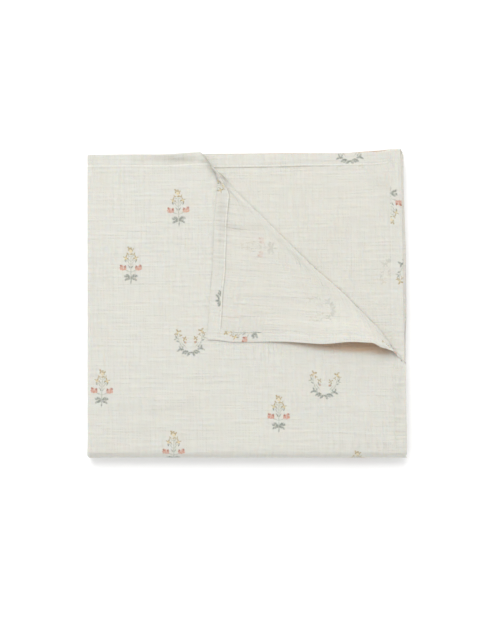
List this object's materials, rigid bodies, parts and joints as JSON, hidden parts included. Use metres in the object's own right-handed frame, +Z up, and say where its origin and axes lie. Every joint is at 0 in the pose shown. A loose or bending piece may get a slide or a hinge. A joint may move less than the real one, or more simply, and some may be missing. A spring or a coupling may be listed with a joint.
{
  "type": "swaddle blanket",
  "caption": "Thin muslin swaddle blanket folded into a flat square packet, its top corner turned back to show the hemmed reverse.",
  "frame": {"origin": "under the middle of the folded packet, on the surface that it rests on", "axes": "+Z up out of the surface, +X to the right along the longer side, +Y towards the open side where the hems lie; the turned-back corner is at +X +Y"},
  "size_m": [0.3021, 0.2899, 0.0255],
  "materials": {
    "muslin": "matte crinkled double gauze, cream, with a sparse flower print"
  },
  "bodies": {
    "root": {"swaddle_blanket": "muslin"}
  },
  "joints": []
}
